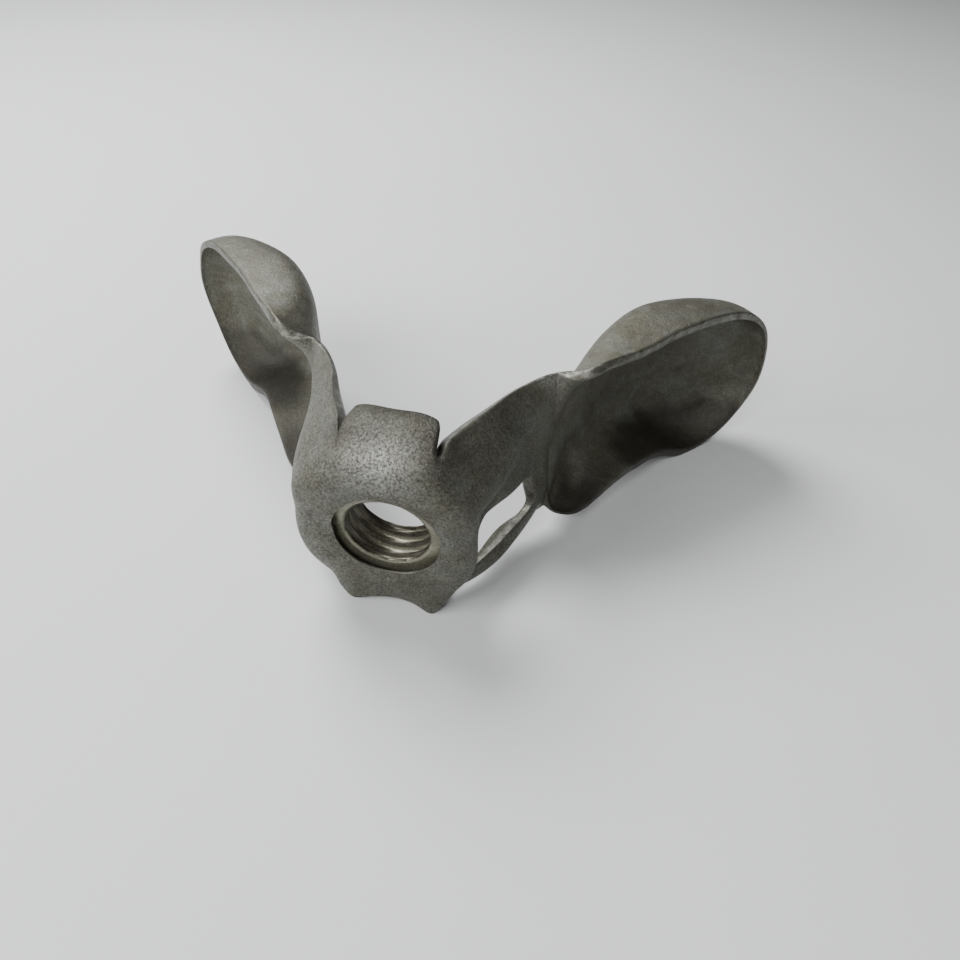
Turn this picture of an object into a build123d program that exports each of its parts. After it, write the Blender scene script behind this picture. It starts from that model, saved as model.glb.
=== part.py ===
from build123d import *
import math
import os

os.makedirs("parts", exist_ok=True)

# Pressed-steel wing nut with a captive M12 thin nut.
# Frame, in millimetres: the origin is the centre of the clearance hole on the
# bearing face, +Y runs along the bore away from that face, the wings spread
# along X and sweep back towards +Y, and +Z is up as the wing nut lies on a bench.

SHEET = 1.6  # thickness of the pressed sheet

# Hub: an eight-sided cap whose bearing face stands at Y = 0.
HOLE_RADIUS = 6.75  # medium clearance hole for M12
HUB_HALF_WIDTH = 11.5
HUB_HALF_HEIGHT = 13.0
HUB_FLAT_HALF_WIDTH = 5.4  # half the length of the top and bottom flats
HUB_FLAT_HALF_HEIGHT = 5.8  # half the length of the side flats
HUB_DEPTH = 3.4  # how far the rounded cap reaches before tabs and arms take over
CORNER_RADIUS = 2.6  # where two side walls of the cap meet
BEND_RADIUS = 2.2  # bearing face into the side walls, outside

# Tabs above and below the nut, flaring a little towards their free edge.
TAB_HALF_WIDTH = 5.0
TAB_REACH = 8.6
TAB_FLARE = 1.5
TAB_SECTION = [
    (BEND_RADIUS, HUB_HALF_HEIGHT),
    (TAB_REACH, HUB_HALF_HEIGHT + TAB_FLARE),
    (TAB_REACH, HUB_HALF_HEIGHT + TAB_FLARE - SHEET),
    (BEND_RADIUS, HUB_HALF_HEIGHT - SHEET),
]

# Captive thin hexagon nut, M12: one pair of flats faces the arms.
NUT_ACROSS_FLATS = 19.0
NUT_SIDES = 6
NUT_TURN = 30.0  # degrees, so that two flats face the arms
NUT_THICKNESS = 6.0
NUT_GAP = 0.3  # gap left between the sheet and the nut's front face
NUT_CHAMFER = 0.7  # along the bore
NUT_CHAMFER_WIDTH = 1.3  # across it, at the corners
THREAD_MINOR_RADIUS = 5.05
THREAD_MOUTH_RADIUS = 6.1

# Staked lugs on the arm roots keep the nut from leaving at the back.
LUG_GAP = 0.3
LUG_X = 10.4  # middle of the right-hand lug
LUG_Z = 3.8
LUG_WIDTH = 3.0
LUG_HEIGHT = 4.0
LUG_LENGTH = 1.4
LUG_CORNER = 0.45

# Arms: channels that narrow from the hub to the crease at the wing's root.
CREASE_X = 16.4
CREASE_Y = 24.9
CREASE_TOP = 8.6
CREASE_BOTTOM = -12.0
CREASE_LIP = 1.5  # how far the channel's lips still turn inwards at the crease
ARM_OVERLAP = 1.0  # how far the arm runs on into the cap and into the wing

# Window between an arm's web and its lower flange, as (Y, Z) corners.
WINDOW_CORNERS = [(3.3, 0.6), (4.6, 2.6), (10.0, -0.2), (15.8, -2.6), (17.2, -8.6), (4.2, -8.2)]
WINDOW_RADIUS = 0.6

# Wing: a scooped dish. Plan curves are (X, Y) points, at its top and its bottom.
FRONT_TOP = [(16.4, 24.9), (20.6, 24.3), (24.5, 28.6), (31.2, 36.3), (39.5, 44.2), (46.0, 49.7)]
FRONT_BOTTOM = [(16.8, 20.8), (20.8, 20.6), (24.8, 26.0), (31.0, 35.0), (39.3, 43.8), (46.0, 49.7)]
BACK = [(44.8, 51.4), (36.0, 48.6), (26.6, 42.6), (20.4, 36.0), (16.2, 28.5), (14.8, 24.0)]
PLAN_TOP_Z = 12.0
PLAN_BOTTOM_Z = -20.0
WING_ANGLE = 45.0  # direction of the wing in plan, from X

# Outline of the wing as (distance along the wing, Z), from the crease over the
# top edge, round the tip and back along the lower edge.
OUTLINE_TOP = [(0.0, 9.0), (4.0, 10.4), (12.0, 9.4), (20.0, 9.3), (27.0, 8.3), (34.0, 5.3)]
OUTLINE_TIP = [(37.4, 0.8), (38.8, -5.0), (37.2, -10.6), (33.0, -15.2), (28.6, -18.3)]
OUTLINE_BOTTOM = [(23.6, -17.2), (18.0, -14.8), (10.0, -13.7), (2.0, -14.6)]
OUTLINE_ROOT = [(-2.4, -13.4), (-6.0, -10.0), (-6.0, 4.0)]
FLANGE_BEND = 2.0  # dish floor into its flanges, outside

# Hollowing out a piece: how far the inner solid runs past each open side.
CAP_OPENING = 0.5
ARM_OPENING = 1.0
WING_OPENING = 4.0
WING_DEPTH = 40.0  # longer than any part of the wing, across its outline
SHORTEST_BEND = 10.0  # edges of the wing's back longer than this are its flange bends

wing_along = Vector(math.cos(math.radians(WING_ANGLE)), math.sin(math.radians(WING_ANGLE)), 0)
wing_out = Vector(wing_along.Y, -wing_along.X, 0)
wing_axis = Axis(origin=(0, 0, 0), direction=wing_out)
wing_plane = Plane(origin=(CREASE_X, CREASE_Y, 0), x_dir=wing_along, z_dir=wing_out)


def cross_plane(y):
    """Plane across the bore at depth y, with sketch axes X and Z."""
    return Plane.XZ.offset(-y)


def hub_outline(inset):
    """Eight corners of the cap's wall, moved inwards by inset."""
    slope = math.atan2(HUB_HALF_HEIGHT - HUB_FLAT_HALF_HEIGHT, HUB_HALF_WIDTH - HUB_FLAT_HALF_WIDTH)
    flat_x = HUB_FLAT_HALF_WIDTH - inset * math.tan(slope / 2)
    flat_z = HUB_FLAT_HALF_HEIGHT - inset * math.tan((math.pi / 2 - slope) / 2)
    width = HUB_HALF_WIDTH - inset
    height = HUB_HALF_HEIGHT - inset
    quarter = [(flat_x, height), (width, flat_z)]
    right = quarter + [(x, -z) for x, z in reversed(quarter)]
    return right + [(-x, z) for x, z in reversed(right)]


def cap_solid(inset):
    """Solid cap with rounded corners, its face at Y = inset."""
    with BuildPart() as cap:
        with BuildSketch(cross_plane(inset)):
            with BuildLine():
                Polyline(hub_outline(inset), close=True)
            make_face()
        opening = CAP_OPENING if inset else 0.0
        extrude(amount=inset - HUB_DEPTH - opening)
        fillet(cap.edges().filter_by(Axis.Y), CORNER_RADIUS - inset)
        face = cap.faces().sort_by(Axis.Y)[0]
        fillet(face.edges(), BEND_RADIUS - inset)
    return cap.part


def arm_profile(points, opening):
    """Section of the right arm; the inner one runs past the channel's open side."""
    if not opening:
        return points
    first = (points[0][0] - opening, points[0][1])
    last = (points[-1][0] - opening, points[-1][1])
    return [first] + points + [last]


def arm_solid(inset):
    """Wedge between the hub and the crease; the channel is the difference of two of them."""
    opening = ARM_OPENING if inset else 0.0
    root = [point for point in hub_outline(inset) if point[0] > 0]
    web_x = CREASE_X - inset
    lip_x = web_x - CREASE_LIP - opening
    crease = [
        (lip_x, CREASE_TOP - inset),
        (web_x, CREASE_TOP - CREASE_LIP - inset),
        (web_x, CREASE_BOTTOM + CREASE_LIP + inset),
        (lip_x, CREASE_BOTTOM + inset),
    ]
    with BuildPart() as arm:
        with BuildSketch(cross_plane(HUB_DEPTH - ARM_OVERLAP)):
            with BuildLine():
                Polyline(arm_profile(root, 2 * opening), close=True)
            make_face()
        with BuildSketch(cross_plane(CREASE_Y + ARM_OVERLAP)):
            with BuildLine():
                Polyline(arm_profile(crease, opening), close=True)
            make_face()
        loft(ruled=True)
    return arm.part


def plan_profile(front, inset):
    """Closed plan curve of the wing; the inner one runs past the open front."""
    shift = wing_out * (WING_OPENING if inset else 0.0)
    front_line = Spline(*[(x + shift.X, y + shift.Y) for x, y in front])
    back_line = Spline(*[(x + wing_out.X * inset, y + wing_out.Y * inset) for x, y in BACK])
    Line(front_line @ 1, back_line @ 0)
    Line(back_line @ 1, front_line @ 0)


def wing_outline(inset):
    """Points of the closed outline, each moved inwards by inset."""
    points = OUTLINE_TOP + OUTLINE_TIP + OUTLINE_BOTTOM + OUTLINE_ROOT
    moved = []
    for index, (along, height) in enumerate(points):
        before = points[index - 1]
        after = points[(index + 1) % len(points)]
        run = after[0] - before[0]
        rise = after[1] - before[1]
        length = math.hypot(run, rise)
        moved.append((along + inset * rise / length, height - inset * run / length))
    return moved


def wing_solid(inset):
    """Wing body bounded by its plan curves and its outline, moved inwards by inset."""
    with BuildPart() as wing:
        for height, front in [(PLAN_TOP_Z, FRONT_TOP), (PLAN_BOTTOM_Z, FRONT_BOTTOM)]:
            with BuildSketch(Plane.XY.offset(height)):
                with BuildLine():
                    plan_profile(front, inset)
                make_face()
        loft(ruled=True)
        with BuildSketch(wing_plane):
            with BuildLine():
                Spline(*wing_outline(inset), periodic=True)
            make_face()
        extrude(amount=WING_DEPTH, both=True, mode=Mode.INTERSECT)
        back_face = wing.faces().sort_by(wing_axis)[0]
        long_edges = [edge for edge in back_face.edges() if edge.length > SHORTEST_BEND]
        bends = [edge for edge in long_edges if edge.center().X > CREASE_X]
        fillet(bends, FLANGE_BEND - inset)
    return wing.part


def shell(solid_at):
    """Sheet of even thickness: a solid less the same solid moved inwards."""
    with BuildPart() as sheet:
        add(solid_at(0.0))
        add(solid_at(SHEET), mode=Mode.SUBTRACT)
    return sheet.part


cap_shell = shell(cap_solid)
arm_shell = shell(arm_solid)
wing_shell = shell(wing_solid)

nut_front = SHEET + NUT_GAP
nut_back = nut_front + NUT_THICKNESS
lug_front = nut_back + LUG_GAP

# Pressed body: one sheet bent into the hub, its tabs, two arms and two wings.
with BuildPart() as wing_body:
    add(arm_shell)
    with BuildSketch(Plane.YZ):
        with BuildLine():
            Polyline(WINDOW_CORNERS, close=True)
        make_face()
        fillet(vertices(), WINDOW_RADIUS)
    extrude(amount=2 * HUB_HALF_WIDTH, mode=Mode.SUBTRACT)
    with BuildSketch(cross_plane(lug_front)):
        with Locations((LUG_X, LUG_Z)):
            Rectangle(LUG_WIDTH, LUG_HEIGHT)
            fillet(vertices(), LUG_CORNER)
    extrude(amount=-LUG_LENGTH)
    add(wing_shell)
    mirror(about=Plane.YZ)
    add(cap_shell)
    with BuildSketch(Plane.YZ):
        with BuildLine():
            Polyline(TAB_SECTION, close=True)
        make_face()
        mirror(about=Plane.XZ)
    extrude(amount=TAB_HALF_WIDTH, both=True)
    with BuildSketch(Plane.XZ):
        Circle(HOLE_RADIUS)
    extrude(amount=-2 * SHEET, mode=Mode.SUBTRACT)
wing_body.part.label = "wing_body"
export_step(wing_body.part, "parts/wing_body.step")

# Thin nut: a turned blank, its bore at the thread's minor radius, cut to a hexagon.
corner_radius = NUT_ACROSS_FLATS / math.sqrt(3)
mouth_depth = THREAD_MOUTH_RADIUS - THREAD_MINOR_RADIUS
with BuildPart() as hex_nut:
    with BuildSketch(Plane.XY):
        with BuildLine():
            Polyline(
                (THREAD_MOUTH_RADIUS, nut_front),
                (corner_radius - NUT_CHAMFER_WIDTH, nut_front),
                (corner_radius, nut_front + NUT_CHAMFER),
                (corner_radius, nut_back - NUT_CHAMFER),
                (corner_radius - NUT_CHAMFER_WIDTH, nut_back),
                (THREAD_MOUTH_RADIUS, nut_back),
                (THREAD_MINOR_RADIUS, nut_back - mouth_depth),
                (THREAD_MINOR_RADIUS, nut_front + mouth_depth),
                close=True,
            )
        make_face()
    revolve(axis=Axis.Y)
    with BuildSketch(cross_plane(nut_front)):
        RegularPolygon(NUT_ACROSS_FLATS / 2, NUT_SIDES, major_radius=False, rotation=NUT_TURN)
    extrude(amount=-NUT_THICKNESS, mode=Mode.INTERSECT)
hex_nut.part.label = "hex_nut"
export_step(hex_nut.part, "parts/hex_nut.step")

for piece in [wing_body, hex_nut]:
    print(piece.part.label, len(piece.solids()), round(piece.part.volume, 1))
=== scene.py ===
import math
import bmesh
import bpy
from functools import partial
from mathutils import Matrix, Vector, noise


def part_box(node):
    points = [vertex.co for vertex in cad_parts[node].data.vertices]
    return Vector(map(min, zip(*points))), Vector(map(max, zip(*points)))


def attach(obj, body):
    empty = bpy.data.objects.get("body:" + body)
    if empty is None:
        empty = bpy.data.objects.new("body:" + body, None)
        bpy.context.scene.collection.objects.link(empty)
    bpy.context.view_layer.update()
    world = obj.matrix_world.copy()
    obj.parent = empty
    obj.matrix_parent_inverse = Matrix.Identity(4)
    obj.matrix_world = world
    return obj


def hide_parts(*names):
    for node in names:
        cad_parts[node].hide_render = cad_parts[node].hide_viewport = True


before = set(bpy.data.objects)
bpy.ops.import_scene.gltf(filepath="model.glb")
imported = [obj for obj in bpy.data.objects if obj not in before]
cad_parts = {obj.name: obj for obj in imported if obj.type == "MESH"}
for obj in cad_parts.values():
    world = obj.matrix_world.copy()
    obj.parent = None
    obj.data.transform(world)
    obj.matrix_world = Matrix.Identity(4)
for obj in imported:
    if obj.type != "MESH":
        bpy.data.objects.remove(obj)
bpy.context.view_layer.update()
nut_low, nut_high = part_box("hex_nut")

# Shapes are worked out in millimetres in the part's frame: the origin is the centre of
# the bolt hole on the bearing face, +Y runs along the bore and +Z is up.
MM = 0.001
SHEET = 1.6
HALF = SHEET / 2

# Hub, at the middle of the sheet's thickness.
HOLE_RADIUS = 6.75
HUB_WIDTH = 11.5 - HALF
BEND = 2.2
WALL_Y = HALF + BEND

# Wing frame: u runs along the wing, v out of its open side; both lie level.
CREASE = Vector((16.4, 24.9, 0.0))
ALONG = Vector((math.sqrt(0.5), math.sqrt(0.5), 0.0))
OUT = Vector((math.sqrt(0.5), -math.sqrt(0.5), 0.0))

# Rim of the wing as (u, v, z), from the crease's top over the tip to its foot.
RIM = [
    (0.2, -0.2, 8.4), (1.2, 1.8, 9.0), (2.6, 3.2, 9.5), (5.0, 3.3, 9.8), (8.3, 3.1, 9.1),
    (13.0, 2.8, 8.5), (18.5, 2.5, 8.7), (24.0, 2.5, 8.3), (30.0, 2.7, 7.3), (33.8, 3.0, 5.2),
    (36.8, 3.2, 1.6), (38.3, 3.4, -3.4), (38.2, 3.4, -8.2), (36.4, 3.2, -12.7), (33.0, 3.0, -16.1),
    (28.9, 2.8, -17.7), (24.9, 2.9, -17.3), (21.0, 3.0, -15.3), (17.5, 3.2, -14.0), (12.0, 4.2, -13.1),
    (6.7, 5.2, -13.0), (2.5, 6.0, -13.5), (0.0, 6.0, -13.5), (-1.8, 4.8, -13.2), (-2.7, 3.2, -12.6),
]
# Floor of the dish in plan as (u, v), carried on from the arm's web.
FLOOR = [
    (-6.0, 3.1), (-3.0, 1.2), (0.0, -0.5), (2.6, -1.7), (6.0, -2.5), (10.8, -4.6),
    (14.5, -5.7), (19.7, -6.1), (25.0, -5.0), (30.4, -3.2), (35.0, -1.8), (38.4, -0.8),
]
SPINE_END = (27.0, -4.8)  # (u, z) where the rays of the tip fan out
SPINE_START_Z = -2.0
RIM_RAYS = 72
SPINE_RAYS = 26
FLANGE_BEND_TOP = 3.4
FLANGE_BEND_FOOT = 5.2
LOW_DEPTH = 0.3  # how much deeper the dish is in its lower half
LOW_HALF = (3.0, 8.0)  # height where the lower half starts, and the run it takes
LOW_TIP = (12.0, 14.0)  # distance along the wing where it starts, and its run
FOOT_BEND = (4.0, 12.0)  # height where the wider bend starts, and its run
CREASE_REACH = 4.5
ROOT_DROP = 6.0  # how far the flange slopes down to its bend beside the crease
ROOT_REACH = 7.0

# Guide curves of the arm as (x, y, z), from the hub to the crease.
ARM_TOP = [(5.3, WALL_Y, 12.1), (5.8, 6.5, 12.1), (7.5, 10.2, 11.6), (9.8, 14.9, 10.6), (12.9, 22.4, 8.5)]
ARM_BOTTOM = [
    (5.3, WALL_Y, -12.1), (7.4, 5.5, -12.3), (9.2, 8.0, -12.2),
    (10.3, 11.6, -12.0), (11.2, 14.2, -12.0), (13.4, 18.0, -12.4),
]
ARM_CUT = [
    (8.9, WALL_Y, -8.2), (9.7, 4.5, -8.1), (10.9, 7.1, -8.0),
    (13.0, 11.8, -8.2), (14.5, 15.5, -8.6), (15.6, 18.5, -8.8),
]
ARM_LOW = [
    (7.6, WALL_Y, -10.6), (11.3, 5.0, -11.2), (13.4, 7.5, -11.8),
    (14.5, 11.0, -12.2), (15.5, 14.0, -12.4), (16.6, 18.0, -12.6),
]
SPINE_Z = [(WALL_Y, 1.6), (4.6, 2.4), (7.5, 1.2), (10.8, -0.6), (15.4, -2.3), (18.0, -2.4)]
BEND_TOP_Z = [(WALL_Y, 5.5), (14.0, 6.2), (24.0, 6.4)]
HUB_SHOULDER = (11.2, -6.2)  # (x, z) of the hub wall's lower corner
WEB_SLOPE = (16.4 - 11.5) / (24.9 - 2.4)  # how fast the arm's web spreads from the hub
ARM_STATIONS = [0.0, 0.05, 0.11, 0.2, 0.3, 0.4, 0.5, 0.6, 0.68, 0.76, 0.84, 0.92, 1.0]
ARM_BEND = 3.2
CREASE_BLEND = (0.6, 0.4)  # station where the arm starts to meet the crease, and its run
WINDOW_STATIONS = (0, 8)  # stations where the window starts and ends
WINDOW_STEP = 3  # step of the lower ray at the window's foot

# A ray runs from the spine to an edge in these steps: along the floor, round the
# bend and up the flange.
FLAT_STEPS = [0.0, 0.3, 0.6, 0.85]
BEND_STEPS = [0.0, 1 / 3, 2 / 3, 1.0]
WALL_STEPS = [0.5, 1.0]
SHORTEST_WALL = 0.05  # with less flange than this, a ray runs straight to the edge
RAY_LENGTH = len(FLAT_STEPS) + len(BEND_STEPS) + len(WALL_STEPS)

# Tabs folded back at the hub's top and bottom: rows of (y, half width, z in the
# middle, z at the sides), from the bend to the rough free edge.
TAB_ROWS = [
    (WALL_Y, 5.3, 12.2, 12.1), (4.8, 5.6, 12.9, 12.0), (6.8, 5.3, 13.4, 12.5),
    (8.1, 5.0, 13.7, 13.0), (8.4, 4.9, 13.75, 13.1),
]
TAB_FACET = 0.62  # the flat part of a tab, as a share of its half width
TAB_EDGE_WOBBLE = {1: [0.1, 0.2, -0.1, 0.3, 0.5], -1: [0.3, 0.1, -0.3, 0.05, 0.3]}
HUB_BEND_STEPS = 4

# Foot of the hub: a sharper bend that stands lower, with a horn at each lower corner.
FOOT_SHARPNESS = 0.8
SHARP_FROM = (9.0, 2.5)  # depth below the hole where the bend gets sharper, and its run
FOOT_DROP = 0.7
DROP_FROM = (8.0, 4.0)
HORN_X = 5.3
HORN_WIDTH = 1.3
HORN_FROM = 10.0
HORN_FORWARD = 0.7
HORN_DROP = 1.3

LEFT_SHOULDER = 0.125  # how much wider the hub is on its left side
SHOULDER_RUN = 2.5
SHOULDER_END = 18.0
PLATE_STEPS = (0.3, 0.65, 0.92, 1.0)

# Dents left by pressing: waves per millimetre, and height in millimetres.
WAVE_SCALE = 0.13
WAVE_HEIGHT = 0.3
LUMP_SCALE = 0.42
LUMP_HEIGHT = 0.45
LUMP_END = (3.0, 8.0)  # distance behind the face where the lumps fade, and its run
FLAT_ROUND_HOLE = 3.0  # the waves fade out this near to the hole in the plate
SLIT_PLACE = Vector((5.6, 5.0, 12.4))  # torn metal beside the upper tab
SLIT_REACH = 2.2
TORN_SCALE = 0.85
TORN_HEIGHT = 2.2
DISH_START = 29.0  # behind this the dish's skin is smoothed once
WAVE_SEEDS = ((0, 0, 0), (7, 3, 1), (2, 9, 5))
TORN_SEEDS = ((4, 1, 8), (9, 6, 2), (5, 5, 3))

# Places on the sheet with painted shade, painted highlight, wear or a differing finish, with how far each
# one reaches.
# how far the painted shade along each wing's crease reaches
CREASE_SHADE_REACH = 2.0
DISH_SHADE_PLACE = (22.0, -4.0, 4.0)  # (u, v, z) of the painted shade in the dish's upper half, under its top flange
DISH_SHADE_REACH = 6.5
DENT_SHADE_PLACE = Vector((11.6, 4.6, 3.2))  # dark spot on the arm's root: painted shade of a dent that is not modelled
DENT_SHADE_REACH = 1.4
BEND_HIGHLIGHT_PLACE = Vector((-0.6, 1.0, 11.9))  # painted highlight where the upper tab bends back
BEND_HIGHLIGHT_REACH = 3.2
# how far the wear and painted highlight at each crease top reach
CREASE_WEAR_AND_HIGHLIGHT_REACH = 2.2
TAB_EDGE_GRIME_AND_SHADE = (12.6, 0.6, 7.7, 0.7)  # a tab's darker free edge, partly a rough edge and partly painted shade: height and its run, depth and its run
FINE_FINISH_FROM = (14.0, 10.0)  # depth where the arm's finish turns finer, and its run
MARK_FROM = (33.6, 42.7, 9.2)  # press mark across the flange
MARK_TO = (35.9, 40.9, 9.2)

NUT_FRONT = nut_low.y / MM
NUT_THICKNESS = (nut_high.y - nut_low.y) / MM
NUT_ACROSS_FLATS = 19.0
NUT_FACE_RADIUS = 8.9
NUT_CHAMFER_SLOPE = 0.55
NUT_SEGMENTS = 144
THREAD_PITCH = 1.75
THREAD_ROWS = 14
THREAD_STEP = THREAD_PITCH / THREAD_ROWS
THREAD_MINOR = 5.3
THREAD_MAJOR = 6.15
THREAD_MOUTH = 0.25
THREAD_MOUTH_RADIUS = 5.7
THREAD_RUN_IN = 0.6
THREAD_CREST = 0.12  # share of the pitch that the flat crest takes
THREAD_FLANK = 0.7  # share that the flanks take
NUT_SHIFT_X = -0.25  # the loose nut sits a little left of the hole's centre and below it
NUT_SHIFT_Z = -0.6
NUT_EDGE = 0.12
NUT_EDGE_ANGLE = 28

# The table top passes under the hub's lower tab and the wings' lower edges.
REST_FRONT = Vector((0.0, 8.6, -14.55))
REST_BACK = Vector((0.0, 43.6, -18.45))
FLOOR_REACH = 1500.0

SENSOR = 36.0
LENS = 31.875
CAMERA_AT = Vector((22.53, -58.66, 79.62))
CAMERA_BACK = Vector((0.1255, -0.6602, 0.7405)).normalized()
CAMERA_UP = Vector((-0.1612, 0.7229, 0.6719))

# White lights, in metres and watts: name, place, aim, width, power.
LIGHTS = [
    ("left_softbox", (-0.36, -0.20, 0.27), (0.0, 0.02, 0.0), 0.30, 1.7),
    ("back_softbox", (-0.17, 0.20, 0.26), (-0.02, 0.04, 0.0), 0.24, 2.1),
    ("top_softbox", (-0.08, -0.30, 0.38), (0.0, 0.02, 0.0), 0.26, 1.7),
]
WORLD_STRENGTH = 0.12


def smoothstep(t):
    t = min(max(t, 0.0), 1.0)
    return t * t * (3 - 2 * t)


def past(value, start, run):
    """Nought up to start, one from start + run on, and a smooth rise between them."""
    return smoothstep((value - start) / run)


def near(point, place, reach):
    """One at the place, fading out in every direction."""
    return math.exp(-(((point - place).length / reach) ** 2))


def smooth_curve(points, fraction):
    """Catmull-Rom curve through the points, evenly by chord length, at a fraction of it."""
    points = [Vector(point) for point in points]
    lengths = [0.0]
    for a, b in zip(points, points[1:]):
        lengths.append(lengths[-1] + (b - a).length)
    place = min(max(fraction, 0.0), 1.0) * lengths[-1]
    index = 0
    while index < len(points) - 2 and lengths[index + 1] < place:
        index += 1
    t = (place - lengths[index]) / (lengths[index + 1] - lengths[index])
    p1, p2 = points[index], points[index + 1]
    p0 = points[index - 1] if index else 2 * p1 - p2
    p3 = points[index + 2] if index + 2 < len(points) else 2 * p2 - p1
    square = 2 * p0 - 5 * p1 + 4 * p2 - p3
    cube = 3 * p1 - p0 - 3 * p2 + p3
    return 0.5 * (2 * p1 + (p2 - p0) * t + square * t**2 + cube * t**3)


def lookup(table, x):
    """Smooth value at x of a short table of (x, value) pairs."""
    if x <= table[0][0]:
        slope = (table[1][1] - table[0][1]) / (table[1][0] - table[0][0])
        return table[0][1] + slope * (x - table[0][0])
    for index in range(len(table) - 1):
        x1, y1 = table[index]
        x2, y2 = table[index + 1]
        if x <= x2:
            run = x2 - x1
            t = (x - x1) / run
            x0, y0 = table[max(index - 1, 0)]
            x3, y3 = table[min(index + 2, len(table) - 1)]
            m1 = (y2 - y0) / (x2 - x0)
            m2 = (y3 - y1) / (x3 - x1)
            return (
                y1 * (2 * t**3 - 3 * t**2 + 1)
                + run * m1 * (t**3 - 2 * t**2 + t)
                + y2 * (3 * t**2 - 2 * t**3)
                + run * m2 * (t**3 - t**2)
            )
    return table[-1][1]


def wing_point(u, v, z):
    """The wing frame's (u, v, z) in the part's frame."""
    return CREASE + ALONG * u + OUT * v + Vector((0.0, 0.0, z))


def crease_point(z):
    """(u, v) of the crease at height z: a straight line between the rim's two ends."""
    top, foot = RIM[0], RIM[-1]
    t = (top[2] - z) / (top[2] - foot[2])
    return top[0] + t * (foot[0] - top[0]), top[1] + t * (foot[1] - top[1])


def floor_v(u, z):
    """Depth of the dish's floor, drawn forward to the leaning crease at its root."""
    crease_u, crease_v = crease_point(z)
    reach = max(u - crease_u, 0.0) / CREASE_REACH
    low = LOW_DEPTH * past(-z, -LOW_HALF[0], LOW_HALF[1]) * past(u, *LOW_TIP)
    return lookup(FLOOR, u) - low + math.exp(-reach * reach) * (crease_v - lookup(FLOOR, crease_u))


def bezier(a, b, c, t):
    """Point of the quadratic curve from a to c that b pulls at."""
    return a * (1 - t) ** 2 + b * 2 * t * (1 - t) + c * t**2


def bent_ray(start, corner, end, bend, on_floor=None):
    """Points from start to end past a rounded corner."""
    first = (corner - start).length
    second = (end - corner).length
    if second < SHORTEST_WALL:
        return [start.lerp(end, step / (RAY_LENGTH - 1)) for step in range(RAY_LENGTH)]
    radius = min(bend, 0.75 * first, 0.8 * second)
    leave = corner + (start - corner) * (radius / first)
    arrive = corner + (end - corner) * (radius / second)
    path = [start.lerp(leave, step) for step in FLAT_STEPS]
    if on_floor:
        path = [on_floor(point) for point in path]
        leave = on_floor(leave)
    path += [bezier(leave, corner, arrive, step) for step in BEND_STEPS]
    path += [arrive.lerp(end, step) for step in WALL_STEPS]
    return path


def wing_rays():
    """Rays of one wing, from the crease's top round the tip to the crease's foot."""

    def on_floor(point):
        return Vector((point.x, floor_v(point.x, point.z), point.z))

    rays = []
    for index in range(RIM_RAYS + 1):
        u, v, z = smooth_curve(RIM, index / RIM_RAYS)
        spine = min(index, RIM_RAYS - index, SPINE_RAYS) / SPINE_RAYS
        spine_z = SPINE_START_Z + spine * (SPINE_END[1] - SPINE_START_Z)
        crease_u, _ = crease_point(spine_z)
        spine_u = crease_u + spine * (SPINE_END[0] - crease_u)
        start = Vector((spine_u, 0.0, spine_z))
        corner = Vector((u, 0.0, z))
        end = Vector((u, v, z))
        if index in (0, RIM_RAYS):
            start.y = crease_point(spine_z)[1]
            flat = bent_ray(start, end, end, FLANGE_BEND_TOP)
        else:
            if z > 0:
                corner.z -= ROOT_DROP * math.exp(-(((u - RIM[0][0]) / ROOT_REACH) ** 2))
            start.y = floor_v(start.x, start.z)
            corner.y = floor_v(corner.x, corner.z)
            low = past(-z, -FOOT_BEND[0], FOOT_BEND[1])
            bend = FLANGE_BEND_TOP + low * (FLANGE_BEND_FOOT - FLANGE_BEND_TOP)
            flat = bent_ray(start, corner, end, bend, on_floor)
        rays.append([wing_point(*point) for point in flat])
    return rays


def web_point(station, y_end, heights):
    """Point on the arm's flat web at a station of the way from the hub to y_end."""
    y = WALL_Y + station * (y_end - WALL_Y)
    return Vector((HUB_WIDTH + (y - WALL_Y) * WEB_SLOPE, y, lookup(heights, y)))


def arm_rays(crease_top, crease_foot):
    """Upper and lower rays of the arm at each station, ending on the crease's own rays."""
    upper, lower = [], []
    for station in ARM_STATIONS:
        spine = web_point(station, crease_top[0].y, SPINE_Z)
        top_corner = web_point(station, crease_top[-1].y - 1.0, BEND_TOP_Z)
        top = smooth_curve(ARM_TOP + [crease_top[-1]], station)
        cut = smooth_curve(ARM_CUT + [crease_foot[WINDOW_STEP]], station)
        low = smooth_curve(ARM_LOW + [crease_foot[-2]], station)
        foot = smooth_curve(ARM_BOTTOM + [crease_foot[-1]], station)
        shoulder = (spine + cut) / 2
        if station == 0:
            shoulder = Vector((HUB_SHOULDER[0], spine.y, HUB_SHOULDER[1]))
        side = [bezier(spine, shoulder, cut, step / WINDOW_STEP) for step in range(WINDOW_STEP)]
        rest = RAY_LENGTH - 1 - WINDOW_STEP
        under = [bezier(cut, low, foot, step / rest) for step in range(rest + 1)]
        blend = past(station, *CREASE_BLEND)
        over = bent_ray(spine, top_corner, top, ARM_BEND)
        upper.append([a.lerp(b, blend) for a, b in zip(over, crease_top)])
        lower.append([a.lerp(b, blend) for a, b in zip(side + under, crease_foot)])
    return upper, lower


def add_grid(bm, rows):
    """Quads between rows of points; a repeated point closes up when doubles are merged."""
    verts = [[bm.verts.new(point) for point in row] for row in rows]
    for upper, lower in zip(verts, verts[1:]):
        for index in range(len(upper) - 1):
            bm.faces.new((upper[index], upper[index + 1], lower[index + 1], lower[index]))


def mirrored(rows):
    return [[Vector((-point.x, point.y, point.z)) for point in row] for row in rows]


def add_half(bm, rows, side):
    """The rows on the right-hand side, or mirrored to the left."""
    add_grid(bm, rows if side > 0 else mirrored(rows))


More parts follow.
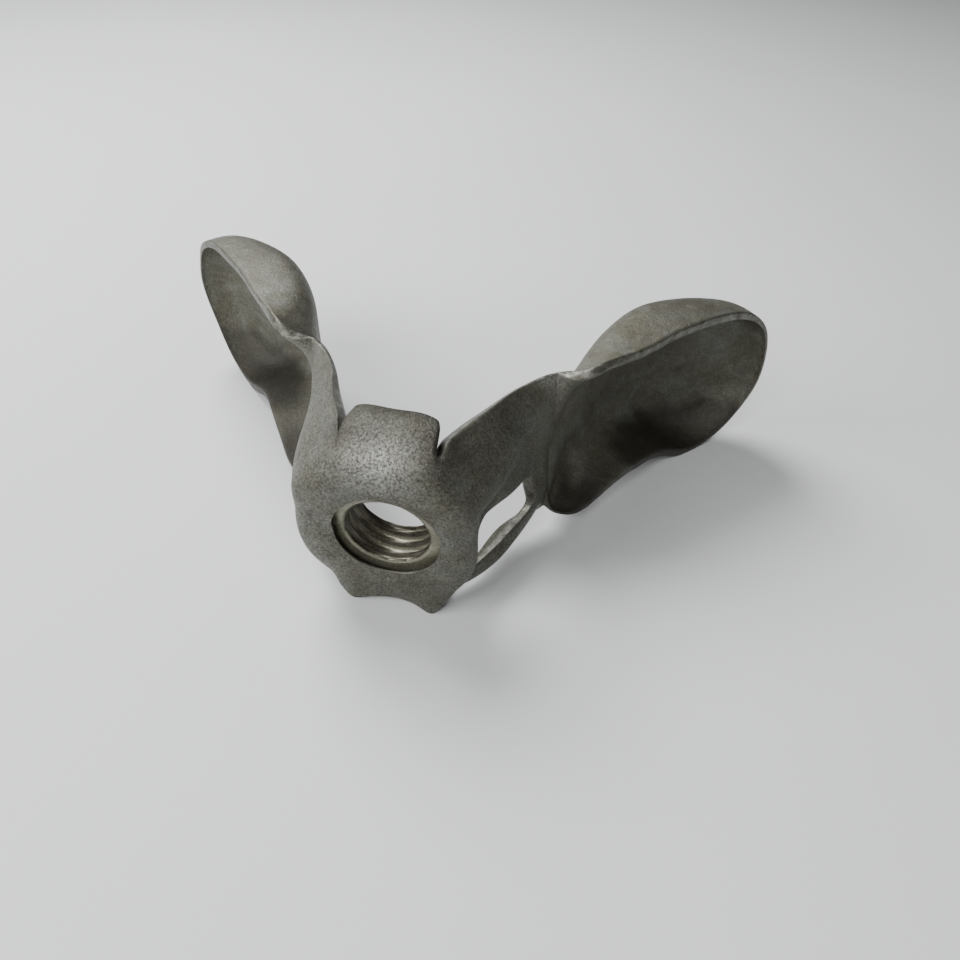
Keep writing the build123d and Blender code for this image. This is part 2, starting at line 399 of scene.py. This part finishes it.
def tab_row(sign, y, half_width, z_middle, z_edge):
    """Five points across a tab, from its right edge to its left edge."""
    inner = half_width * TAB_FACET
    widths = (half_width, inner, 0.0, -inner, -half_width)
    heights = (z_edge, z_middle, z_middle, z_middle, z_edge)
    return [Vector((x, y, sign * z)) for x, z in zip(widths, heights)]


def hub_loop(upper_ray, lower_ray):
    """The closed loop of points where the hub's walls meet the bend round the plate."""
    right = list(reversed(upper_ray)) + lower_ray[1:]
    left = [Vector((-point.x, point.y, point.z)) for point in reversed(right)]
    bottom = tab_row(-1, *TAB_ROWS[0])[1:-1]
    top = list(reversed(tab_row(1, *TAB_ROWS[0])[1:-1]))
    return right + bottom + left + top + [right[0]]


def add_hub(bm, loop):
    """Bend from the walls to the plate, sharper along the foot, and the holed plate."""
    rows = []
    for step in range(HUB_BEND_STEPS + 1):
        angle = step / HUB_BEND_STEPS * math.pi / 2
        row = []
        for point in loop:
            sharp = past(-point.z, *SHARP_FROM) * FOOT_SHARPNESS
            inward = 1 - math.cos(angle) ** (1 - sharp)
            forward = math.sin(angle) ** (1 - sharp)
            horn = math.exp(-(((abs(point.x) - HORN_X) / HORN_WIDTH) ** 2))
            horn *= past(-point.z, HORN_FROM, 1.0) * forward * (1 - inward)
            shrink = 1 - BEND * inward / HUB_WIDTH
            y = HALF + BEND * (1 - forward) - HORN_FORWARD * horn
            low = FOOT_DROP * past(-point.z, *DROP_FROM) * (1 - inward)
            row.append(Vector((point.x * shrink, y, point.z * shrink - HORN_DROP * horn - low)))
        rows.append(row)
    flat = rows[-1]
    hole = []
    for point in flat:
        direction = Vector((point.x, 0.0, point.z)).normalized()
        hole.append(Vector((0.0, HALF, 0.0)) + direction * HOLE_RADIUS)
    for blend in PLATE_STEPS:
        rows.append([a.lerp(b, blend) for a, b in zip(flat, hole)])
    add_grid(bm, rows)


def add_tab(bm, sign):
    """The upper tab, or the lower one for a negative sign."""
    rows = [tab_row(sign, *row) for row in TAB_ROWS]
    for index, point in enumerate(rows[-1]):
        point.y += TAB_EDGE_WOBBLE[sign][index]
    add_grid(bm, rows)


def on_right(point):
    """The point, or its mirror image on the right-hand side."""
    return Vector((abs(point.x), point.y, point.z))


def lump(place, seeds):
    return Vector([noise.noise(place + Vector(seed)) for seed in seeds])


def uneven(point):
    """Waves left by pressing, finer lumps on the hub's outline and torn metal by the slits."""
    lumps = LUMP_HEIGHT * (1 - past(point.y, *LUMP_END))
    torn = TORN_HEIGHT * near(on_right(point), SLIT_PLACE, SLIT_REACH)
    shift = WAVE_HEIGHT * lump(point * WAVE_SCALE, WAVE_SEEDS)
    shift += lumps * lump(point * LUMP_SCALE, WAVE_SEEDS)
    shift += torn * lump(point * TORN_SCALE, TORN_SEEDS)
    if point.y < BEND:
        shift *= past(math.hypot(point.x, point.z), HOLE_RADIUS, FLAT_ROUND_HOLE)
    return point + shift


def new_object(name, bm):
    mesh = bpy.data.meshes.new(name)
    bmesh.ops.recalc_face_normals(bm, faces=bm.faces)
    for vert in bm.verts:
        vert.co *= MM
    bm.to_mesh(mesh)
    bm.free()
    for polygon in mesh.polygons:
        polygon.use_smooth = True
    obj = bpy.data.objects.new(name, mesh)
    bpy.context.scene.collection.objects.link(obj)
    return obj


def build_sheet():
    """The pressed body, drawn as its middle surface and thickened to the sheet."""
    bm = bmesh.new()
    wing = wing_rays()
    upper, lower = arm_rays(wing[0], wing[-1])
    first, last = WINDOW_STATIONS
    for side in (1, -1):
        add_half(bm, wing, side)
        add_half(bm, upper, side)
        add_half(bm, lower[: first + 1], side)
        add_half(bm, [ray[WINDOW_STEP:] for ray in lower[first : last + 1]], side)
        add_half(bm, lower[last:], side)
    add_hub(bm, hub_loop(upper[0], lower[0]))
    add_tab(bm, 1)
    add_tab(bm, -1)
    bmesh.ops.remove_doubles(bm, verts=bm.verts, dist=0.02)
    for vert in bm.verts:
        wider = LEFT_SHOULDER * past(-vert.co.x, HOLE_RADIUS, SHOULDER_RUN)
        vert.co.x *= 1 + wider * (1 - past(vert.co.y, 0.0, SHOULDER_END))
        vert.co = uneven(vert.co)
    inner = [vert for vert in bm.verts if not vert.is_boundary and vert.co.y > DISH_START]
    bmesh.ops.smooth_vert(bm, verts=inner, factor=0.5, use_axis_x=True, use_axis_y=True, use_axis_z=True)
    mark_surfaces(bm)
    obj = new_object("pressed_body", bm)
    thick = obj.modifiers.new("thickness", "SOLIDIFY")
    thick.thickness = SHEET * MM
    thick.offset = 0.0
    thick.use_even_offset = True
    thick.thickness_clamp = 1.0
    thick.edge_crease_outer = 0.85
    thick.edge_crease_inner = 0.85
    thick.material_offset_rim = 1
    soft = obj.modifiers.new("soft", "SUBSURF")
    soft.levels = 2
    soft.render_levels = 2
    return obj


def mark_surfaces(bm):
    """Painted shade (with some grime), painted highlight (with some wear) and where the zinc is rough, on
    the points.
    """
    painted_shade_and_grime = bm.verts.layers.float.new("painted_shade_and_grime")
    wear_and_painted_highlight = bm.verts.layers.float.new("wear_and_painted_highlight")
    rough = bm.verts.layers.float.new("rough")
    crease_top = wing_point(*RIM[0])
    along = wing_point(*RIM[-1]) - crease_top
    dish_shade_place = wing_point(*DISH_SHADE_PLACE)
    for vert in bm.verts:
        point = on_right(vert.co)
        t = min(max((point - crease_top).dot(along) / along.length_squared, 0.0), 1.0)
        # painted shade along the crease
        crease = 0.12 * near(point, crease_top + along * t, CREASE_SHADE_REACH)
        # painted shade in the slits beside the upper tab
        slit_shade = 0.75 * near(point, SLIT_PLACE, SLIT_REACH)
        # painted shade in the dish under its top flange
        dish_shade = 0.55 * near(point, dish_shade_place, DISH_SHADE_REACH)
        # painted shade of the dent
        dent_shade = 0.85 * near(point, DENT_SHADE_PLACE, DENT_SHADE_REACH)
        # the tabs' free edges: rough edge and painted shade
        high, high_run, deep, deep_run = TAB_EDGE_GRIME_AND_SHADE
        free_edge_grime_and_shade = 0.8 * past(abs(point.z), high, high_run) * past(point.y, deep, deep_run)
        vert[painted_shade_and_grime] = max(crease, dish_shade, slit_shade, dent_shade, free_edge_grime_and_shade)
        # wear and painted highlight at the crease top
        crease_wear_and_highlight = 0.55 * near(point, crease_top, CREASE_WEAR_AND_HIGHLIGHT_REACH)
        # painted highlight on the upper tab's bend, and wear with it at the crease tops
        vert[wear_and_painted_highlight] = max(crease_wear_and_highlight, near(vert.co, BEND_HIGHLIGHT_PLACE, BEND_HIGHLIGHT_REACH))
        vert[rough] = 1 - 0.6 * past(point.y, *FINE_FINISH_FROM)


def build_nut():
    """Thin hexagon nut with chamfered corners and a real right-handed thread."""
    bm = bmesh.new()
    back = NUT_FRONT + NUT_THICKNESS
    face_middle = (THREAD_MAJOR + NUT_FACE_RADIUS) / 2
    rows = []

    def ring(radius_at, y_at):
        row = []
        for index in range(NUT_SEGMENTS + 1):
            angle = 2 * math.pi * index / NUT_SEGMENTS
            radius = radius_at(angle)
            x = NUT_SHIFT_X + radius * math.cos(angle)
            z = NUT_SHIFT_Z + radius * math.sin(angle)
            row.append(Vector((x, y_at(angle), z)))
        rows.append(row)

    def hexagon(angle):
        offset = (angle + math.pi / 6) % (math.pi / 3) - math.pi / 6
        return NUT_ACROSS_FLATS / 2 / math.cos(offset)

    def drop(angle):
        return max(0.0, hexagon(angle) - NUT_FACE_RADIUS) * NUT_CHAMFER_SLOPE

    def chamfer_middle(angle):
        return (hexagon(angle) + NUT_FACE_RADIUS) / 2

    def helix_y(index, angle):
        y = NUT_FRONT + index * THREAD_STEP - THREAD_PITCH * angle / (2 * math.pi)
        return min(max(y, NUT_FRONT), back)

    def thread_radius(index, angle):
        y = helix_y(index, angle)
        phase = index / THREAD_ROWS % 1.0
        rise = min(max((abs(phase - 0.5) * 2 - THREAD_CREST) / THREAD_FLANK, 0.0), 1.0)
        inside = min(y - NUT_FRONT, back - y)
        mouth = max(0.0, THREAD_MOUTH - inside) / THREAD_MOUTH
        depth = (THREAD_MAJOR - THREAD_MINOR) * smoothstep((inside - THREAD_MOUTH) / THREAD_RUN_IN)
        return THREAD_MINOR + depth * rise + (THREAD_MOUTH_RADIUS - THREAD_MINOR) * mouth

    for index in range(math.ceil((NUT_THICKNESS + THREAD_PITCH) / THREAD_STEP) + 1):
        ring(partial(thread_radius, index), partial(helix_y, index))
    ring(lambda angle: face_middle, lambda angle: back)
    ring(lambda angle: NUT_FACE_RADIUS, lambda angle: back)
    ring(chamfer_middle, lambda angle: back - drop(angle) / 2)
    ring(hexagon, lambda angle: back - drop(angle))
    ring(hexagon, lambda angle: (NUT_FRONT + back) / 2)
    ring(hexagon, lambda angle: NUT_FRONT + drop(angle))
    ring(chamfer_middle, lambda angle: NUT_FRONT + drop(angle) / 2)
    ring(lambda angle: NUT_FACE_RADIUS, lambda angle: NUT_FRONT)
    ring(lambda angle: face_middle, lambda angle: NUT_FRONT)
    rows.append(rows[0])
    add_grid(bm, rows)
    bmesh.ops.remove_doubles(bm, verts=bm.verts, dist=0.005)
    threaded = bm.verts.layers.float.new("threaded")
    for vert in bm.verts:
        from_axis = math.hypot(vert.co.x - NUT_SHIFT_X, vert.co.z - NUT_SHIFT_Z)
        inside = min(vert.co.y - NUT_FRONT, back - vert.co.y)
        vert[threaded] = 1.0 if from_axis < THREAD_MOUTH_RADIUS and inside > THREAD_MOUTH * 0.8 else 0.0
    obj = new_object("thin_hexagon_nut", bm)
    edge = obj.modifiers.new("edge", "BEVEL")
    edge.width = NUT_EDGE * MM
    edge.segments = 2
    edge.limit_method = "ANGLE"
    edge.angle_limit = math.radians(NUT_EDGE_ANGLE)
    return obj


class Nodes:
    """Short way to write a material's node tree, with coordinates in millimetres."""

    def __init__(self, name):
        self.material = bpy.data.materials.new(name)
        self.material.use_nodes = True
        self.tree = self.material.node_tree
        self.shader = self.tree.nodes["Principled BSDF"]
        coords = self.tree.nodes.new("ShaderNodeTexCoord")
        self.place = self.tree.nodes.new("ShaderNodeMapping")
        self.place.inputs["Scale"].default_value = (1000.0, 1000.0, 1000.0)
        self.tree.links.new(coords.outputs["Object"], self.place.inputs["Vector"])

    def link(self, source, target):
        self.tree.links.new(source, target)

    def noise(self, scale, detail=3.0, roughness=0.55, distortion=0.0):
        node = self.tree.nodes.new("ShaderNodeTexNoise")
        node.inputs["Scale"].default_value = scale
        node.inputs["Detail"].default_value = detail
        node.inputs["Roughness"].default_value = roughness
        node.inputs["Distortion"].default_value = distortion
        self.link(self.place.outputs["Vector"], node.inputs["Vector"])
        return node.outputs["Fac"]

    def cells(self, scale):
        node = self.tree.nodes.new("ShaderNodeTexVoronoi")
        node.inputs["Scale"].default_value = scale
        self.link(self.place.outputs["Vector"], node.inputs["Vector"])
        return node.outputs["Distance"]

    def ramp(self, source, stops):
        node = self.tree.nodes.new("ShaderNodeValToRGB")
        elements = node.color_ramp.elements
        while len(elements) < len(stops):
            elements.new(0.5)
        for element, (position, color) in zip(elements, stops):
            element.position = position
            element.color = (color, color, color, 1) if isinstance(color, float) else (*color, 1)
        self.link(source, node.inputs["Fac"])
        return node.outputs["Color"]

    def blend(self, mode, amount, first, second):
        node = self.tree.nodes.new("ShaderNodeMix")
        node.data_type = "RGBA"
        node.blend_type = mode
        if isinstance(amount, float):
            node.inputs[0].default_value = amount
        else:
            self.link(amount, node.inputs[0])
        self.link(first, node.inputs[6])
        if isinstance(second, tuple):
            node.inputs[7].default_value = (*second, 1)
        else:
            self.link(second, node.inputs[7])
        return node.outputs[2]

    def vector_math(self, operation, first, second=None):
        node = self.tree.nodes.new("ShaderNodeVectorMath")
        node.operation = operation
        self.link(first, node.inputs[0])
        if second is not None:
            node.inputs[1].default_value = second
        return node.outputs["Value" if operation in ("LENGTH", "DOT_PRODUCT") else "Vector"]

    def press_mark(self):
        """One on a thin straight line across each wing's upper flange, nought elsewhere."""
        run = Vector(MARK_TO) - Vector(MARK_FROM)
        same_side = self.vector_math("ABSOLUTE", self.place.outputs["Vector"])
        from_start = self.vector_math("SUBTRACT", same_side, MARK_FROM)
        across = self.vector_math("CROSS_PRODUCT", from_start, tuple(run.normalized()))
        off_line = self.vector_math("LENGTH", across)
        along = self.vector_math("DOT_PRODUCT", from_start, tuple(run / run.length_squared))
        line = self.ramp(off_line, [(0.10, 0.8), (0.30, 0.0)])
        inside = self.ramp(along, [(0.0, 0.0), (0.08, 1.0), (0.92, 1.0), (1.0, 0.0)])
        return self.blend("MULTIPLY", 1.0, line, inside)

    def bump(self, height, strength, distance, under=None):
        node = self.tree.nodes.new("ShaderNodeBump")
        node.inputs["Strength"].default_value = strength
        node.inputs["Distance"].default_value = distance * MM
        self.link(height, node.inputs["Height"])
        if under:
            self.link(under, node.inputs["Normal"])
        return node.outputs["Normal"]

    def value(self, name):
        node = self.tree.nodes.new("ShaderNodeAttribute")
        node.attribute_name = name
        return node.outputs["Fac"]


def galvanised():
    """Weathered hot-dip zinc: mottled olive grey and dark pits, with painted shade (and some grime) in
    the creases, slits, a dent, the dish under its top flange and the tabs' edges, and a painted highlight
    (and some wear) on the upper tab's bend and the crease tops.
    """
    n = Nodes("galvanised_sheet")
    cloud = n.noise(0.24, 5.0, 0.65, 0.9)
    mottle = n.noise(0.7, 6.0, 0.7, 0.4)
    grain = n.noise(3.2, 5.0, 0.75)
    pits = n.cells(1.5)
    specks = n.noise(1.7, 6.0, 0.7)
    rough = n.value("rough")
    olive, grey, pale = (0.096, 0.090, 0.062), (0.120, 0.118, 0.092), (0.152, 0.155, 0.138)
    base = n.ramp(cloud, [(0.3, olive), (0.5, grey), (0.72, pale)])
    base = n.blend("MULTIPLY", 0.8, base, n.ramp(mottle, [(0.3, 0.7), (0.5, 0.95), (0.7, 1.25)]))
    coarse = n.blend("MULTIPLY", 1.0, base, n.ramp(grain, [(0.32, 0.3), (0.5, 0.7), (0.68, 1.5)]))
    coarse = n.blend("MULTIPLY", 0.8, coarse, n.ramp(pits, [(0.06, 0.4), (0.25, 1.0)]))
    coarse = n.blend("MULTIPLY", 0.8, coarse, n.ramp(specks, [(0.30, 0.25), (0.39, 1.0)]))
    fine = n.blend("MULTIPLY", 0.35, base, n.ramp(grain, [(0.3, 0.6), (0.7, 1.3)]))
    fine = n.blend("MULTIPLY", 0.5, fine, n.ramp(specks, [(0.28, 0.35), (0.36, 1.0)]))
    base = n.blend("MIX", rough, fine, coarse)
    # painted shade, with some grime at the tabs' rough edges: near-black where the mask is high
    base = n.blend("MIX", n.value("painted_shade_and_grime"), base, (0.022, 0.020, 0.014))
    # painted highlight, with some wear at the crease tops: lighter, smoother zinc where the mask is high,
    # over the grain
    wear_and_painted_highlight = n.blend("MULTIPLY", 1.0, n.ramp(grain, [(0.42, 0.15), (0.58, 1.0)]), n.value("wear_and_painted_highlight"))
    base = n.blend("MIX", wear_and_painted_highlight, base, (0.42, 0.42, 0.39))
    mark = n.press_mark()
    base = n.blend("MIX", mark, base, (0.030, 0.028, 0.020))
    n.link(base, n.shader.inputs["Base Color"])
    n.shader.inputs["Metallic"].default_value = 0.45
    dull = n.ramp(mottle, [(0.35, 0.50), (0.65, 0.66)])
    glint = n.ramp(grain, [(0.42, 0.55), (0.62, 0.26)])
    roughness = n.blend("MIX", rough, dull, glint)
    n.link(n.blend("MIX", wear_and_painted_highlight, roughness, (0.22, 0.22, 0.22)), n.shader.inputs["Roughness"])
    normal = n.bump(mottle, 0.8, 0.2)
    uneven_grain = n.blend("MULTIPLY", 1.0, n.ramp(grain, [(0.3, 0.0), (0.7, 1.0)]), rough)
    normal = n.bump(uneven_grain, 0.7, 0.10, normal)
    normal = n.bump(n.ramp(pits, [(0.05, 0.0), (0.2, 1.0)]), 0.3, 0.05, normal)
    n.link(normal, n.shader.inputs["Normal"])
    return n.material


def sheared_edge():
    """The sheet's cut edges: zinc over shear marks, dirt in the low spots, bright facets, with the
    sheet's painted highlight (and some wear) and painted shade (and some grime).
    """
    n = Nodes("sheared_edge")
    mottle = n.noise(0.9, 5.0, 0.65, 0.3)
    streaks = n.noise(2.6, 4.0, 0.7, 1.5)
    dirty, dull, bright = (0.050, 0.048, 0.036), (0.120, 0.119, 0.098), (0.20, 0.20, 0.18)
    base = n.ramp(mottle, [(0.32, dirty), (0.5, dull), (0.7, bright)])
    base = n.blend("MULTIPLY", 0.8, base, n.ramp(streaks, [(0.35, 0.45), (0.6, 1.15)]))
    # painted highlight on the cut edges, with some wear at the crease tops
    wear_and_painted_highlight = n.blend("MULTIPLY", 1.0, n.ramp(mottle, [(0.5, 0.0), (0.56, 1.0)]), n.value("wear_and_painted_highlight"))
    base = n.blend("MIX", wear_and_painted_highlight, base, (0.36, 0.36, 0.33))
    # painted shade on the cut edges, with some grime at the tabs' rough edges
    base = n.blend("MIX", n.value("painted_shade_and_grime"), base, (0.018, 0.016, 0.012))
    n.link(base, n.shader.inputs["Base Color"])
    n.shader.inputs["Metallic"].default_value = 0.6
    n.link(n.ramp(streaks, [(0.35, 0.3), (0.65, 0.5)]), n.shader.inputs["Roughness"])
    n.link(n.bump(streaks, 0.6, 0.12, n.bump(mottle, 0.5, 0.15)), n.shader.inputs["Normal"])
    return n.material


def nut_steel():
    """Pale zinc on the faces, with a brown, oily thread."""
    n = Nodes("nut_steel")
    cloud = n.noise(0.35, 4.0, 0.6, 0.4)
    grain = n.noise(4.0, 4.0, 0.65)
    olive, grey, pale = (0.14, 0.135, 0.095), (0.20, 0.195, 0.145), (0.26, 0.26, 0.20)
    zinc = n.ramp(cloud, [(0.3, olive), (0.55, grey), (0.75, pale)])
    oily = n.ramp(cloud, [(0.3, (0.032, 0.028, 0.020)), (0.6, (0.085, 0.076, 0.058))])
    base = n.blend("MIX", n.value("threaded"), zinc, oily)
    base = n.blend("MULTIPLY", 0.7, base, n.ramp(grain, [(0.3, 0.7), (0.7, 1.2)]))
    n.link(base, n.shader.inputs["Base Color"])
    n.shader.inputs["Metallic"].default_value = 0.6
    n.link(n.ramp(grain, [(0.3, 0.24), (0.7, 0.40)]), n.shader.inputs["Roughness"])
    n.link(n.bump(grain, 0.2, 0.03, n.bump(cloud, 0.3, 0.1)), n.shader.inputs["Normal"])
    return n.material


def table_top():
    """Matt pale grey, very slightly uneven."""
    n = Nodes("table_top")
    n.place.inputs["Scale"].default_value = (1.0, 1.0, 1.0)
    soft = n.noise(9.0, 2.0, 0.5)
    pale = n.ramp(soft, [(0.3, (0.64, 0.65, 0.655)), (0.7, (0.67, 0.68, 0.685))])
    n.link(pale, n.shader.inputs["Base Color"])
    n.shader.inputs["Roughness"].default_value = 0.8
    n.shader.inputs["Specular IOR Level"].default_value = 0.2
    return n.material


def build_floor():
    """Table top that the part rests on, tilted to its bore."""
    slope = (REST_BACK.z - REST_FRONT.z) / (REST_BACK.y - REST_FRONT.y)
    bm = bmesh.new()
    rows = []
    for y in (-FLOOR_REACH, FLOOR_REACH):
        z = REST_FRONT.z + slope * (y - REST_FRONT.y)
        rows.append([Vector((x, y, z)) for x in (-FLOOR_REACH, FLOOR_REACH)])
    add_grid(bm, rows)
    floor = new_object("table", bm)
    floor.data.materials.append(table_top())


def add_light(name, place, aim, size, power):
    data = bpy.data.lights.new(name, "AREA")
    data.shape = "DISK"
    data.size = size
    data.energy = power
    light = bpy.data.objects.new(name, data)
    light.location = place
    light.rotation_euler = (Vector(aim) - Vector(place)).to_track_quat("-Z", "Y").to_euler()
    bpy.context.scene.collection.objects.link(light)


def add_lights():
    for light in LIGHTS:
        add_light(*light)
    world = bpy.data.worlds.new("studio")
    bpy.context.scene.world = world
    world.use_nodes = True
    world.node_tree.nodes["Background"].inputs["Color"].default_value = (1.0, 1.0, 1.0, 1.0)
    world.node_tree.nodes["Background"].inputs["Strength"].default_value = WORLD_STRENGTH


def add_camera():
    data = bpy.data.cameras.new("camera")
    data.sensor_width = SENSOR
    data.lens = LENS
    data.clip_start = 0.001
    camera = bpy.data.objects.new("camera", data)
    up = (CAMERA_UP - CAMERA_BACK * CAMERA_UP.dot(CAMERA_BACK)).normalized()
    right = up.cross(CAMERA_BACK)
    turn = Matrix((right, up, CAMERA_BACK)).transposed().to_4x4()
    camera.matrix_world = Matrix.Translation(CAMERA_AT * MM) @ turn
    bpy.context.scene.collection.objects.link(camera)
    bpy.context.scene.camera = camera


body = build_sheet()
body.data.materials.append(galvanised())
body.data.materials.append(sheared_edge())
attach(body, "wing_body")
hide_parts("wing_body")

nut = build_nut()
nut.data.materials.append(nut_steel())
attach(nut, "hex_nut")
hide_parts("hex_nut")

build_floor()
add_lights()
add_camera()
